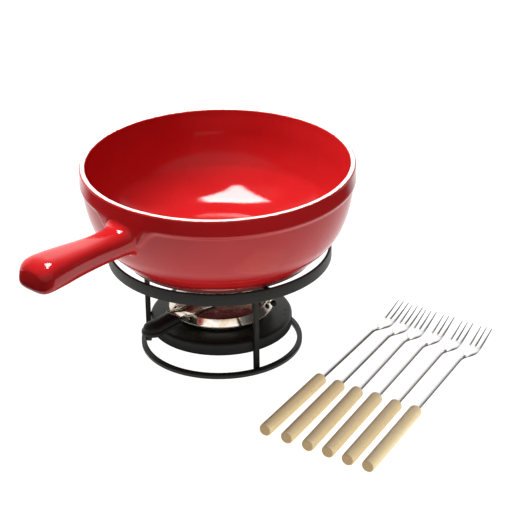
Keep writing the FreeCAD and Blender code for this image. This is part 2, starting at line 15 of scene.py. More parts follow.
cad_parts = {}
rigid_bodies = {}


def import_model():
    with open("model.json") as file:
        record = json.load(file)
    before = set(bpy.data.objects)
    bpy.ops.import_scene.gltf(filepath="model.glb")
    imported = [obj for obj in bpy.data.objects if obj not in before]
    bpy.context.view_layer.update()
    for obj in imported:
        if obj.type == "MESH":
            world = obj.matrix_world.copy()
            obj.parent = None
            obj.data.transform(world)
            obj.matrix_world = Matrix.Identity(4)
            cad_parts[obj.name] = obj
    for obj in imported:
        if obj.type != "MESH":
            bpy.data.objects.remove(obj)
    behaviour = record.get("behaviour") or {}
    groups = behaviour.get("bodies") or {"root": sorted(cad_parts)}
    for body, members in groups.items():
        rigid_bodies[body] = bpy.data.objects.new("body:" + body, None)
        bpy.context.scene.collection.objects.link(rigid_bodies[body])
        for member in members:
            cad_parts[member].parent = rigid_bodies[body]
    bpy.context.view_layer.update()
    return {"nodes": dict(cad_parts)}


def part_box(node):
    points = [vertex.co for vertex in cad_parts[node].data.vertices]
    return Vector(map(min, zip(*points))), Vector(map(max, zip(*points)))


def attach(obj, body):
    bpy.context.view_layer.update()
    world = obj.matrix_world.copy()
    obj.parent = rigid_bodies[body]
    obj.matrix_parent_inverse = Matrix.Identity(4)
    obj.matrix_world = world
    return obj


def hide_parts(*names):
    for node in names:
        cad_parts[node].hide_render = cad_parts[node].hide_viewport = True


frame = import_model()

MM = 0.001

# stand
BAR = 4.5
BAR_CORNER = 0.55
BEND = 3.5 + BAR / 2
BAR_END = 0.4
BAR_END_CUT = 0.35
LEGS = (1, 2, 3)
RING_CORNER = 0.6
TOP_RING_WALL = 2.5
TRAY_SHEET = 1.2
TRAY_FLAT = 30.0
PIP_REACH = 57.5
PIP_OFFSETS = (52.0, 61.0)

# caquelon: heights above its own foot
POT_HANDLE_HEADING = -44.5
RIM_RADIUS = 120.0
RIM_INNER = 115.0
POT_HEIGHT = 85.0
BAND_RADIUS = 120.4
BAND_EDGE = 68.5
BAND_STEP = 4.0
BAND_TOP = 83.4
WALL_LOW = Vector((109.6, 30.0))
WALL_HIGH = Vector((118.2, 66.5))
WALL_BULGE = 105.0
FLOOR_HEIGHT = 8.0
PAD_MIDDLE = 1.2
PAD_HALF_ANGLES = (5.8, 17.5)
PAD_DROP = 18.8
PAD_UNDER_START = 3.0
PAD_UNDER_DROP = 10.0
FOOT_HOLLOW = 71.4
POT_TURN_STEPS = 432
HANDLE_TURN_STEPS = 96
LOW_FULLNESS = 3.6
# reach, half width, half height, middle height, fullness of the upper corners, lean
HANDLE_STATIONS = (
    (118.0, 16.0, 13.0, 55.4, 2.4, 0.0), (124.0, 15.4, 12.2, 54.8, 2.4, 0.0),
    (132.0, 14.7, 11.3, 54.1, 2.5, 0.0), (142.0, 14.3, 11.0, 54.1, 2.7, 0.02),
    (158.0, 15.1, 11.2, 54.7, 2.9, 0.05), (176.0, 17.0, 11.9, 55.7, 2.9, 0.08),
    (194.0, 19.4, 12.6, 56.3, 2.9, 0.10), (210.0, 20.6, 12.8, 56.4, 2.9, 0.11),
    (224.0, 20.6, 12.8, 56.4, 2.9, 0.11))
HANDLE_ROOT = 132.0
HANDLE_FLARE = 4.0
HANDLE_TOP_FLARE = 3.5
HANDLE_END = 221.0
HANDLE_END_ROUND = 10.5
HANDLE_TOP_ROUND = 19.0
HANDLE_TOP_DROP = 9.0
HANDLE_LOW_ROUND = 5.0
HANDLE_END_LEAN = 3.0
HANDLE_BULGE = 0.4

# burner: heights above its own underside
BURNER_HEADING = -43.5
KNOB_HEADING = 76.0
KNOB_TRAVEL = 60.0
SHEET = 0.8
CUP_RADIUS = 41.0
CUP_HEIGHT = 11.0
FLANGE_RADIUS = 46.5
FLANGE_HEIGHT = 7.3
COVER_TOP = 13.7
COVER_TOP_RADIUS = 42.2
COVER_LOW_RADIUS = 46.1
VENT_RADII = (4.5, 13.0)
VENT_ANGLE = 56.0
VENTS = 3
VENT_ROWS = (2, 3)
DISC_STEPS = 360
SHUTTER_TOP = 12.6
SHUTTER_RADIUS = 39.5
PIVOT_RADIUS = 1.5
PIVOT_HOLE = 1.56
PIVOT_HEAD = 3.0
STEM_HEIGHT = 11.9
STEM_RADIUS = 0.8
SLOT_HALF = STEM_RADIUS + 0.2
SLOT_MARGIN = 4.0
KNOB_REACH = 48.1
KNOB_RADIUS = 2.9
STRIP_WIDTH = 17.0
STRIP_FLANGE = 3.0
STRIP_START = 16.0
STRIP_FLARE_END = 34.0
STRIP_FLARE_WIDTH = 20.0
STRIP_FLARE_FLANGE = 1.35
STRIP_SLOPE = (40.0, 58.0)
STRIP_RISE = 3.5
GRIP_START = 59.5
GRIP_END = 96.5
GRIP_WIDTH = 20.0
GRIP_BOTTOM = 12.6
GRIP_HEIGHT = 9.6
GRIP_CORNER = 1.6
GRIP_WAIST = 0.55

# forks, along their own +X from the near end of the wood
FORKS = (1, 2, 3, 4, 5, 6)
WOOD_RADIUS = 5.7
WOOD_LENGTH = 99.5
WOOD_ROUND = 2.6
SHAFT_RADIUS = 1.75
NECK_START = 196.0
NECK_END = 214.0
SLIT_START = 230.0
FORK_LENGTH = 259.3
BLADE = 1.8
SHOULDER = 6.9
TINE_PITCH = 5.2
LIFT_START = NECK_END + 13.0
TIP_LIFT = 5.8
TIP_HALF = 0.5
CAGE = 1.05
SLIT_COLUMNS = (1, 3)

# studio, in metres: the window is seen only in reflections, and its corners are (x, y)
WINDOW = ((0.19, 0.50), (-0.06, 0.16), (-0.24, -0.16), (-0.35, -0.14), (-0.44, 0.27),
          (-0.57, 0.72), (-0.18, 0.90), (0.08, 0.82))
TABLE_SIZE = 14.0
CAMERA_LENS = 157.66
CAMERA_PLACE = (0.0, -1.7719, 0.9746)
# pitch down, yaw and roll in degrees
CAMERA_ANGLES = (26.696, 1.0323, 0.9876)


# -------------------------------- small helpers


def smooth(start, end, value):
    """0 before start, 1 after end, and an even S-curve in between."""
    t = min(max((value - start) / (end - start), 0.0), 1.0)
    return t * t * (3.0 - 2.0 * t)


def between(a, b, t):
    return a + (b - a) * t


def eased(a, b, start, end, value):
    """From a to b on an even S-curve as value goes from start to end."""
    return between(a, b, smooth(start, end, value))


def fractions(count, first=0):
    """Even steps from first / count up to 1."""
    return [step / count for step in range(first, count + 1)]


def heading_direction(heading):
    """Unit vector on the table for a heading."""
    angle = math.radians(heading)
    return Vector((math.sin(angle), -math.cos(angle), 0.0))


def middle(node):
    """Middle of a CAD node's box, in millimetres."""
    low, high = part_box(node)
    return (Vector(low) + Vector(high)) / 2 / MM


def low_z(node):
    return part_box(node)[0][2] / MM


def high_z(node):
    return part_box(node)[1][2] / MM


def heading_of(node):
    """Heading in which a node's middle lies from the stand's axis."""
    point = middle(node)
    return math.degrees(math.atan2(point.x, -point.y))


def outwards_frame(heading, height=0.0):
    """Matrix that turns +X to a heading, at a height in the units of what it places."""
    turn = Matrix.Rotation(math.radians(heading - 90.0), 4, "Z")
    return Matrix.Translation((0.0, 0.0, height)) @ turn


def rounded_path(corners, steps=6):
    """Polyline through (x, y, radius) corners with an arc at each corner that has a radius."""
    path = []
    for index, (x, y, radius) in enumerate(corners):
        here = Vector((x, y))
        if radius == 0.0:
            path.append(here)
            continue
        before = (Vector(corners[index - 1][:2]) - here).normalized()
        after = (Vector(corners[(index + 1) % len(corners)][:2]) - here).normalized()
        half = before.angle(after) / 2
        reach = radius / math.tan(half)
        centre = here + (before + after).normalized() * radius / math.sin(half)
        start = here + before * reach - centre
        sweep = start.angle_signed(here + after * reach - centre)
        path += [centre + Matrix.Rotation(-sweep * t, 2) @ start for t in fractions(steps)]
    return path


def arc(centre, radius, start, end, steps):
    """Points of a circle from one angle to another in degrees, both ends included."""
    angles = [math.radians(between(start, end, t)) for t in fractions(steps)]
    return [(centre[0] + radius * math.cos(angle), centre[1] + radius * math.sin(angle))
            for angle in angles]


def arc_centre(start, end, radius):
    """Centre of the arc from start to end that bulges to the right of the way."""
    way = end - start
    left = Vector((-way.y, way.x)).normalized()
    return (start + end) / 2 + left * math.sqrt(radius ** 2 - way.length_squared / 4)


def arc_path(start, end, radius, steps):
    """Points after start up to end on an arc that bulges to the right of the way."""
    start, end = Vector(start), Vector(end)
    centre = arc_centre(start, end, radius)
    first = start - centre
    sweep = -first.angle_signed(end - centre)
    return [centre + Matrix.Rotation(sweep * t, 2) @ first for t in fractions(steps, 1)]


def add_piece(name, shape, body, nodes=(), matrix=None, sharp=40.0):
    """A smooth mesh piece from points in millimetres and faces, riding on a body."""
    points, faces = shape
    placed = [matrix @ Vector(point) if matrix else Vector(point) for point in points]
    mesh = bpy.data.meshes.new(name)
    mesh.from_pydata([point * MM for point in placed], [], faces)
    work = bmesh.new()
    work.from_mesh(mesh)
    bmesh.ops.remove_doubles(work, verts=work.verts, dist=1e-7)
    bmesh.ops.dissolve_degenerate(work, edges=work.edges, dist=1e-8)
    bmesh.ops.recalc_face_normals(work, faces=work.faces)
    work.to_mesh(mesh)
    work.free()
    mesh.shade_smooth()
    mesh.set_sharp_from_angle(angle=math.radians(sharp))
    piece = bpy.data.objects.new(name, mesh)
    bpy.context.scene.collection.objects.link(piece)
    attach(piece, body)
    if nodes:
        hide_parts(*nodes)
    return piece


def grid_faces(rows, columns, closed=False):
    """Quads between closed rows of points that are stored one after another."""
    return [(row * columns + column,
             row * columns + (column + 1) % columns,
             (row + 1) % rows * columns + (column + 1) % columns,
             (row + 1) % rows * columns + column)
            for row in range(rows if closed else rows - 1) for column in range(columns)]


def turned(profile, steps, closed=False):
    """Points and faces of a profile of (radius, height) turned once round the Z axis."""
    angles = [math.tau * step / steps for step in range(steps)]
    points = [(radius * math.cos(angle), radius * math.sin(angle), height)
              for radius, height in profile for angle in angles]
    return points, grid_faces(len(profile), steps, closed)


def along_x(profile, steps, height):
    """A profile of (x, radius) turned about a line along +X at a height."""
    points, faces = turned([(radius, x) for x, radius in profile], steps)
    return [(x, across, height + up) for up, across, x in points], faces


def lofted(sections):
    """Points and faces through closed sections of equal length, with both ends capped."""
    size = len(sections[0])
    points = [point for section in sections for point in section]
    faces = grid_faces(len(sections), size)
    faces.append(tuple(range(size - 1, -1, -1)))
    faces.append(tuple(range(len(points) - size, len(points))))
    return points, faces


def joined(shapes):
    """Several shapes of points and faces as one."""
    points, faces = [], []
    for shape_points, shape_faces in shapes:
        faces += [tuple(corner + len(points) for corner in face) for face in shape_faces]
        points += shape_points
    return points, faces


def rounded_box(left, low, right, high, corner, steps=6):
    """Closed rectangle with rounded corners."""
    corners = ((left, low), (right, low), (right, high), (left, high))
    return rounded_path([(x, y, corner) for x, y in corners], steps)


# -------------------------------- node helpers


def add_node(kind, inputs=None, tree=None, **settings):
    """A shader node in the tree of the sockets that feed it, or in a given tree."""
    sockets = {key: value for key, value in (inputs or {}).items()
               if isinstance(value, bpy.types.NodeSocket)}
    tree = tree or next(iter(sockets.values())).id_data
    made = tree.nodes.new(f"ShaderNode{kind}")
    for key, value in settings.items():
        setattr(made, key, value)
    for key, value in (inputs or {}).items():
        if key in sockets:
            tree.links.new(value, made.inputs[key])
        else:
            made.inputs[key].default_value = value
    return made


def calc(operation, first, second=0.0):
    return add_node("Math", {0: first, 1: second}, operation=operation).outputs[0]


def times(first, second):
    return calc("MULTIPLY", first, second)


def mask(value, start, end):
    """0 to 1 as value goes from start to end, smoothly."""
    settings = {"Value": value, "From Min": start, "From Max": end}
    made = add_node("MapRange", settings, interpolation_type="SMOOTHSTEP")
    return made.outputs["Result"]


def level(value, low, high):
    """A 0 to 1 value spread linearly from low to high."""
    return add_node("MapRange", {"Value": value, "To Min": low, "To Max": high}).outputs[0]


def stretched(vector, scale):
    """Coordinates scaled along each axis."""
    return add_node("Mapping", {"Vector": vector, "Scale": scale}).outputs[0]


def cloud(vector, scale, detail=3.0, roughness=0.5, distortion=0.0):
    """Fractal noise, 0 to 1."""
    inputs = {"Vector": vector, "Scale": scale, "Detail": detail,
              "Roughness": roughness, "Distortion": distortion}
    return add_node("TexNoise", inputs).outputs["Fac"]


def coordinates(position):
    """The three coordinates of a position, and its distance from the Z axis."""
    axes = add_node("SeparateXYZ", {0: position}).outputs
    flat = add_node("CombineXYZ", {0: axes["X"], 1: axes["Y"]}).outputs[0]
    return axes, add_node("VectorMath", {0: flat}, operation="LENGTH").outputs["Value"]


def mix_colour(factor, first, second):
    """Colour between two, each a socket or an RGB triple."""
    def whole(colour):
        return colour if isinstance(colour, bpy.types.NodeSocket) else (*colour, 1.0)

    made = add_node("Mix", {0: factor, 6: whole(first), 7: whole(second)}, data_type="RGBA")
    return made.outputs[2]


def add_bump(height, distance, strength, normal=None):
    inputs = {"Height": height, "Distance": distance, "Strength": strength}
    if normal:
        inputs["Normal"] = normal
    return add_node("Bump", inputs).outputs["Normal"]


def principled_input(finish, socket):
    """Input of a material's shader, its name written with underscores for blanks."""
    return finish.node_tree.nodes["Principled BSDF"].inputs[socket.replace("_", " ")]


def new_material(name, **values):
    """A material whose Principled shader has the given values; returns it and the position."""
    finish = bpy.data.materials.new(name)
    finish.use_nodes = True
    for socket, value in values.items():
        principled_input(finish, socket).default_value = value
    return finish, add_node("TexCoord", tree=finish.node_tree).outputs["Object"]


def connect(finish, **sockets):
    """Link sockets to a material's shader, and give the material back."""
    for socket, value in sockets.items():
        finish.node_tree.links.new(value, principled_input(finish, socket))
    return finish


def paint(pieces, finish):
    """Give pieces one material."""
    for piece in pieces:
        piece.data.materials.clear()
        piece.data.materials.append(finish)


# -------------------------------- materials


def glaze_material():
    """Red glaze, with the pale clay bare on the rim and a brown ring under the foot; painted shade
    darkens the band a little and the lowest few millimetres nearly to black.
    """
    finish, position = new_material("red_glaze", IOR=1.52, Specular_IOR_Level=0.42)
    axes, radius = coordinates(position)
    rest = low_z("caquelon")

    def heights(start, end):
        return mask(axes["Z"], (rest + start) * MM, (rest + end) * MM)

    def reaches(value, start, end):
        return mask(value, start * MM, end * MM)

    flecks = mask(cloud(position, 900.0, 2.0, 0.6), 0.62, 0.75)
    red = mix_colour(cloud(position, 35.0, 4.0), (0.47, 0.011, 0.013), (0.56, 0.015, 0.017))
    red = mix_colour(flecks, red, (0.34, 0.004, 0.007))
    # painted shade: the band a little darker, and the pot's lowest few millimetres near-black red,
    # where shade falls under the pot
    band = times(heights(BAND_EDGE - 1.0, BAND_EDGE + 3.0),
                 reaches(radius, RIM_INNER + 3.4, RIM_INNER + 4.2))
    under = heights(4.0, 1.0)
    painted_shade = calc("MAXIMUM", times(band, 0.18), under)
    red = mix_colour(painted_shade, red, (0.07, 0.0015, 0.002))
    wobble = calc("SUBTRACT", cloud(position, 220.0), 0.5)
    ragged = calc("ADD", radius, times(wobble, 1.1 * MM))
    rim = times(reaches(ragged, RIM_RADIUS - 0.9, RIM_RADIUS - 1.2),
                reaches(ragged, RIM_INNER + 0.5, RIM_INNER + 0.8))
    rim = times(rim, heights(POT_HEIGHT - 0.75, POT_HEIGHT - 0.4))
    foot = heights(0.5, 0.3)
    bare = calc("MAXIMUM", rim, foot)
    speck = mask(cloud(position, 1600.0, 1.0), 0.66, 0.74)
    clay = mix_colour(speck, (0.90, 0.86, 0.78), (0.62, 0.52, 0.40))
    clay = mix_colour(foot, clay, (0.20, 0.085, 0.055))
    gloss = level(cloud(position, 60.0, 3.0), 0.045, 0.095)
    dry = calc("MAXIMUM", bare, under)
    rough = add_node("Mix", {0: dry, 2: gloss, 3: 0.62}).outputs[0]
    ripple = add_bump(cloud(position, 110.0, 2.0), 0.12 * MM, 0.35)
    grain = add_bump(cloud(position, 2600.0, 3.0), 0.05 * MM, 0.25, ripple)
    return connect(finish, Base_Color=mix_colour(bare, red, clay), Roughness=rough, Normal=grain)


def painted_underside_shade_material():
    """Near-black brownish red under the pot: painted shade, where the underside gets no light."""
    finish, position = new_material("dull_glaze", Specular_IOR_Level=0.06)
    clouds = cloud(position, 60.0, 4.0)
    return connect(finish, Roughness=level(clouds, 0.6, 0.8),
                   Base_Color=mix_colour(clouds, (0.06, 0.004, 0.005), (0.10, 0.008, 0.009)))


def paint_material():
    """Satin black stoving paint with a faint orange peel and rubbed patches."""
    finish, position = new_material("black_paint", Specular_IOR_Level=0.28)
    dust = cloud(position, 90.0, 5.0, 0.6)
    rubbed = mask(cloud(position, 420.0, 4.0, 0.65), 0.60, 0.78)
    black = mix_colour(dust, (0.009, 0.010, 0.008), (0.018, 0.019, 0.015))
    black = mix_colour(times(rubbed, 0.5), black, (0.05, 0.05, 0.043))
    rough = level(cloud(position, 260.0, 3.0), 0.36, 0.50)
    peel = add_bump(cloud(position, 1500.0, 2.0), 0.06 * MM, 0.45)
    return connect(finish, Base_Color=black, Roughness=rough, Normal=peel)


def spun_steel_material():
    """Polished steel, turned on its axis, with straw-coloured patches in places."""
    finish, position = new_material("polished_steel", Metallic=1.0)
    axes, radius = coordinates(position)
    turning = add_node("CombineXYZ", {0: radius, 1: axes["Z"]}).outputs[0]
    lines = cloud(turning, 3800.0, 2.0, 0.7)
    tint = mask(cloud(position, 70.0, 4.0, 0.6, 0.8), 0.40, 0.62)
    steel = mix_colour(lines, (0.66, 0.62, 0.56), (0.78, 0.74, 0.67))
    steel = mix_colour(times(tint, 0.6), steel, (0.60, 0.44, 0.27))
    smear = cloud(position, 160.0, 4.0, 0.65)
    rough = level(mask(smear, 0.35, 0.70), 0.08, 0.20)
    dents = add_bump(cloud(position, 45.0, 1.0), 0.05 * MM, 0.08)
    return connect(finish, Base_Color=steel, Roughness=rough,
                   Normal=add_bump(lines, 0.01 * MM, 0.12, dents))


def fork_steel_material():
    """Bright polished steel, brushed across the shaft, with fingerprints of dullness."""
    finish, position = new_material("fork_steel", Metallic=1.0)
    lines = cloud(stretched(position, (2600.0, 300.0, 300.0)), 1.0, 2.0)
    steel = mix_colour(lines, (0.80, 0.79, 0.78), (0.92, 0.91, 0.90))
    rough = level(cloud(position, 120.0, 4.0, 0.6), 0.08, 0.22)
    return connect(finish, Base_Color=steel, Roughness=rough, Normal=add_bump(lines, 0.01 * MM, 0.2))


def plastic_material():
    """Black moulded plastic with a fine sparkle of grain and soft handling marks."""
    finish, position = new_material("black_plastic", Specular_IOR_Level=0.20)
    marks = cloud(position, 150.0, 4.0, 0.6)
    black = mix_colour(marks, (0.012, 0.0115, 0.011), (0.022, 0.021, 0.020))
    rough = level(marks, 0.36, 0.50)
    grain = add_bump(cloud(position, 3200.0, 2.0), 0.03 * MM, 0.35)
    return connect(finish, Base_Color=black, Roughness=rough, Normal=grain)


def beech_material(number):
    """Bare beech along +X: long grain, short dark rays, and rings on the ends."""
    finish, position = new_material(f"beech_{number}", Specular_IOR_Level=0.35)
    shift = (0.31 * number, 0.017 * number, 0.011 * number)
    place = add_node("Mapping", {"Vector": position, "Location": shift}).outputs[0]
    grain = cloud(stretched(place, (16.0, 420.0, 420.0)), 1.0, 5.0, 0.6, 0.3)
    broad = cloud(stretched(place, (7.0, 90.0, 90.0)), 1.0, 3.0)
    rays = cloud(stretched(place, (420.0, 2400.0, 2400.0)), 1.0, 1.0)
    wood = mix_colour(grain, (0.67, 0.49, 0.245), (0.92, 0.775, 0.49))
    wood = mix_colour(times(broad, 0.45), wood, (0.82, 0.65, 0.375))
    dashes = times(mask(rays, 0.64, 0.72), 0.55)
    wood = mix_colour(dashes, wood, (0.42, 0.27, 0.13))
    along = add_node("SeparateXYZ", {0: position}).outputs["X"]
    ends = calc("MAXIMUM", mask(along, 0.5 * MM, 0.1 * MM),
                mask(along, (WOOD_LENGTH - 0.5) * MM, (WOOD_LENGTH - 0.1) * MM))
    rings = add_node("TexWave", {"Vector": place, "Scale": 140.0, "Distortion": 5.0},
                     wave_type="RINGS", rings_direction="X").outputs["Fac"]
    end_grain = mix_colour(rings, (0.48, 0.33, 0.165), (0.55, 0.39, 0.20))
    wood = mix_colour(ends, wood, end_grain)
    pores = add_bump(calc("SUBTRACT", grain, dashes), 0.08 * MM, 0.4)
    return connect(finish, Base_Color=wood, Roughness=level(grain, 0.48, 0.66), Normal=pores)


def floor_material():
    """Plain pale matt paper, evenly lit from below like a product table."""
    finish, position = new_material("pale_paper", Specular_IOR_Level=0.2,
                                    Emission_Color=(1.0, 1.0, 1.0, 1.0), Emission_Strength=1.04)
    fibre = cloud(position, 500.0, 3.0)
    return connect(finish, Base_Color=mix_colour(fibre, (0.54,) * 3, (0.58,) * 3),
                   Roughness=level(fibre, 0.75, 0.9))


def glow_material(name, strength):
    """Evenly lit diffusing cloth, a little mottled; light passes through the card itself."""
    finish = bpy.data.materials.new(name)
    finish.use_nodes = True
    tree = finish.node_tree
    tree.nodes.remove(tree.nodes["Principled BSDF"])
    position = add_node("TexCoord", tree=tree).outputs["Object"]
    mottle = level(cloud(position, 3.0, 2.0), 0.9 * strength, 1.1 * strength)
    glow = add_node("Emission", {"Strength": mottle}).outputs[0]
    clear = add_node("BsdfTransparent", tree=tree).outputs[0]
    both = add_node("AddShader", {0: glow, 1: clear}).outputs[0]
    tree.links.new(both, tree.nodes["Material Output"].inputs["Surface"])
    return finish


def cloth_material(name, cover=None):
    """Black cloth with a nap; cover makes the mask of where it lies, if not everywhere."""
    finish, position = new_material(name, Roughness=1.0)
    nap = cloud(position, 300.0, 2.0)
    if cover:
        connect(finish, Alpha=cover(position))
    return connect(finish, Base_Color=mix_colour(nap, (0.004,) * 3, (0.012,) * 3))


def table_cover(position):
    """Where the dark flag lies: all round the set but not behind it, and right under it, where it is
    painted shadow under the stand, seen only in reflections.
    """
    axes, radius = coordinates(position)
    ring = times(mask(radius, 0.34, 0.44), mask(axes["Y"], 0.32, 0.18))
    # the disc right under the set is painted shadow
    return calc("MAXIMUM", ring, mask(radius, 0.14, 0.085))


# -------------------------------- stand


def make_ring(node, wall):
    """Flat-walled ring with rounded edges, as wide and high as its CAD node."""
    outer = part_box(node)[1][0] / MM
    profile = rounded_box(outer - wall, low_z(node), outer, high_z(node), RING_CORNER)
    return add_piece(f"{node}_bar", turned(profile, 256, closed=True), "stand", [node])


def leg_stations():
    """Centre line of a leg and its arm, as (reach, height, tilt of the section)."""
    low, arm = low_z("leg_1"), high_z("leg_1") - BAR / 2
    inner, outer = frame_reach("leg_1")
    upright = inner + BAR / 2
    stations = [(upright, low, 0.0), (upright, low + BAR_END, 0.0), (upright, arm - BEND, 0.0)]
    for t in fractions(12, 1):
        angle = math.pi / 2 * t
        stations.append((upright + BEND - BEND * math.cos(angle),
                         arm - BEND + BEND * math.sin(angle), angle))
    return stations + [(outer - BAR_END, arm, math.pi / 2), (outer, arm, math.pi / 2)]


def frame_reach(node):
    """Least and greatest distance of a bar from the stand's axis, along its own heading."""
    out = heading_direction(heading_of(node))
    reaches = [vertex.co.dot(out) / MM for vertex in frame["nodes"][node].data.vertices]
    return min(reaches), max(reaches)


def make_leg(number):
    """Square bar with rounded corners, bent outwards into the arm under the pot."""
    node = f"leg_{number}"
    stations = leg_stations()
    sections = []
    for station in stations:
        reach, height, tilt = station
        half = BAR / 2 - (BAR_END_CUT if station in (stations[0], stations[-1]) else 0.0)
        along = Vector((math.cos(tilt), 0.0, -math.sin(tilt)))
        centre = Vector((reach, 0.0, height))
        sections.append([centre + along * up + Vector((0.0, across, 0.0))
                         for across, up in rounded_box(-half, -half, half, half, BAR_CORNER, 4)])
    matrix = outwards_frame(heading_of(node))
    return add_piece(f"{node}_bar", lofted(sections), "stand", [node], matrix)


def bead_points(start, end, radius, seed):
    """Sections of a lumpy weld bead from start to end."""
    start, end = Vector(start), Vector(end)
    along = (end - start).normalized()
    side = along.orthogonal().normalized()
    up = along.cross(side)
    sections = []
    for step, t in enumerate(fractions(14)):
        lump = 1.0 + 0.16 * math.sin(3.0 * math.tau * t + seed)
        swell = radius * lump * math.sqrt(max(1.0 - (2.0 * t - 1.0) ** 4, 0.02))
        section = []
        for corner in range(10):
            angle = math.tau * corner / 10
            rough = 1.0 + 0.08 * noise.noise(Vector((seed, step * 0.7, corner * 0.9)))
            out = side * math.cos(angle) + up * math.sin(angle)
            section.append(start.lerp(end, t) + out * swell * rough)
        sections.append(section)
    return sections


def make_welds(number):
    """Weld beads of one leg at the base ring, the tray and the top ring, as one piece."""
    low, high = low_z("leg_1"), high_z("leg_1")
    inner, outer = frame_reach("leg_1")
    runs = ((inner + BAR + 0.1, low + 0.6, low + BAR - 0.5, 0.75),
            (inner, low_z("burner_tray") + 1.0, high_z("burner_tray") - 3.5, 0.6),
            (outer - 0.2, high - BAR + 0.4, high - 0.4, 0.8))
    beads = []
    for across in (-BAR / 2 - 0.1, BAR / 2 + 0.1):
        for reach, start, end, radius in runs:
            seed = number * 7.0 + len(beads)
            beads.append(lofted(bead_points((reach, across, start), (reach, across, end),
                                            radius, seed)))
    matrix = outwards_frame(heading_of(f"leg_{number}"))
    return add_piece(f"leg_{number}_welds", joined(beads), "stand", matrix=matrix)


def make_tray():
    """Shallow inverted pan of sheet steel with a pressed edge and a rounded skirt end."""
    top, low = high_z("burner_tray"), low_z("burner_tray")
    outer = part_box("burner_tray")[1][0] / MM
    inner, under = outer - TRAY_SHEET, top - TRAY_SHEET
    edge = rounded_path([(TRAY_FLAT, top, 0.0), (outer, top, 3.0), (outer, low, 0.5),
                         (inner, low, 0.5), (inner, under, 1.8), (TRAY_FLAT, under, 0.0)], 8)
    profile = [(0.0, top), *edge, (0.0, under)]
    return add_piece("burner_tray_pan", turned(profile, 192), "stand", ["burner_tray"])


def make_tray_pips():
    """Pairs of small locating pips pressed up near the tray's edge, between the legs."""
    dome = [(0.9 * math.cos(t), 0.35 * math.sin(t)) for t in (0.0, 0.4, 0.8, 1.2, math.pi / 2)]
    points, faces = turned(dome, 20)
    pips = []
    for leg in LEGS:
        for offset in PIP_OFFSETS:
            centre = heading_direction(heading_of(f"leg_{leg}") + offset) * PIP_REACH
            centre.z = high_z("burner_tray") - 0.02
            pips.append(([Vector(point) + centre for point in points], faces))
    return add_piece("tray_pips", joined(pips), "stand")


def build_stand(finish):
    pieces = [make_ring("base_ring", BAR), make_ring("top_ring", TOP_RING_WALL),
              make_tray(), make_tray_pips()]
    for number in LEGS:
        pieces += [make_leg(number), make_welds(number)]
    paint(pieces, finish)


# -------------------------------- caquelon


def wall_curve(height):
    """Outer radius of the pot's wall below the band, carried on upwards."""
    centre = arc_centre(WALL_LOW, WALL_HIGH, WALL_BULGE)
    return centre.x + math.sqrt(max(WALL_BULGE ** 2 - (height - centre.y) ** 2, 0.0))


def pad_edge(angle):
    """Height of the band's lower edge at an angle from the handle, where it dips."""
    inner, outer = PAD_HALF_ANGLES
    away = abs(angle - PAD_MIDDLE)
    dip = PAD_DROP * (1.0 - smooth(inner, outer, away))
    under = PAD_UNDER_DROP * (1.0 - smooth(PAD_UNDER_START, inner + 1.0, away))
    return BAND_EDGE - dip - under


def outer_radius(angle, height):
    """Outer radius of the pot at an angle from the handle (degrees) and a height."""
    lift = BAND_RADIUS - wall_curve(BAND_EDGE + BAND_STEP / 2)
    plain = wall_curve(height)
    band = eased(BAND_RADIUS, RIM_RADIUS, BAND_EDGE + 1.5, BAND_TOP, height)
    proud = eased(plain + lift, band, BAND_EDGE - 4.5, BAND_EDGE + 2.5, height)
    edge = pad_edge(angle)
    return eased(plain, proud, edge - BAND_STEP / 2, edge + BAND_STEP / 2, height)


def outside_rows():
    """Rows of the outside as (radius or None where the wall formula holds, height)."""
    foot = [(0.0, 1.2), (60.0, 1.2), (70.0, 1.1), (72.0, 0.3), (73.0, 0.0), (84.1, 0.0),
            (84.8, 0.3), (85.0, 0.9), (85.0, 1.7), (85.3, 2.2), (86.1, 2.8)]
    belly = arc_path((85.6, 2.8), (102.2, 18.4), 85.0, 12)
    belly += arc_path((102.2, 18.4), WALL_LOW, 60.0, 8)
    wall = [(None, between(WALL_LOW.y, BAND_TOP, t)) for t in fractions(60, 1)]
    return foot + [tuple(point) for point in belly] + wall


def inside_rows():
    """Rows over the rim and down the inside to the middle of the floor."""
    rim = rounded_path([(RIM_RADIUS, 80.0, 0.0), (RIM_RADIUS, POT_HEIGHT, 1.7),
                        (RIM_INNER, POT_HEIGHT, 1.4), (RIM_INNER - 1.0, 70.0, 0.0)], 6)[1:-1]
    floor = [(radius, FLOOR_HEIGHT) for radius in (0.0, 20.0, 40.0, 54.0, 57.0, 58.0)]
    wall = arc_path(floor[-1], (103.4, 34.0), 60.0, 24)
    wall += arc_path((103.4, 34.0), (112.0, 66.5), 110.0, 16)
    upper = [(113.2, 73.0), (114.3, 79.0), (114.85, 82.0)]
    return [tuple(point) for point in rim + (floor + wall + upper)[::-1]]


def make_bowl():
    """The pot itself: wall with its band and handle pad outside, sweeping floor inside."""
    base = low_z("caquelon")
    rows = outside_rows() + inside_rows()
    points = []
    for radius, height in rows:
        for step in range(POT_TURN_STEPS):
            heading = 360.0 * step / POT_TURN_STEPS - 180.0
            angle = (heading - POT_HANDLE_HEADING + 180.0) % 360.0 - 180.0
            reach = outer_radius(angle, height) if radius is None else radius
            points.append(heading_direction(heading) * reach + Vector((0.0, 0.0, base + height)))
    shape = points, grid_faces(len(rows), POT_TURN_STEPS)
    return add_piece("caquelon_bowl", shape, "pot", ["caquelon"], sharp=60.0)


def handle_shape(reach):
    """Half width, half height, middle height, fullness and lean at a distance from the axis."""
    places, *columns = zip(*HANDLE_STATIONS)
    return [smooth_series(places, column, reach) for column in columns]


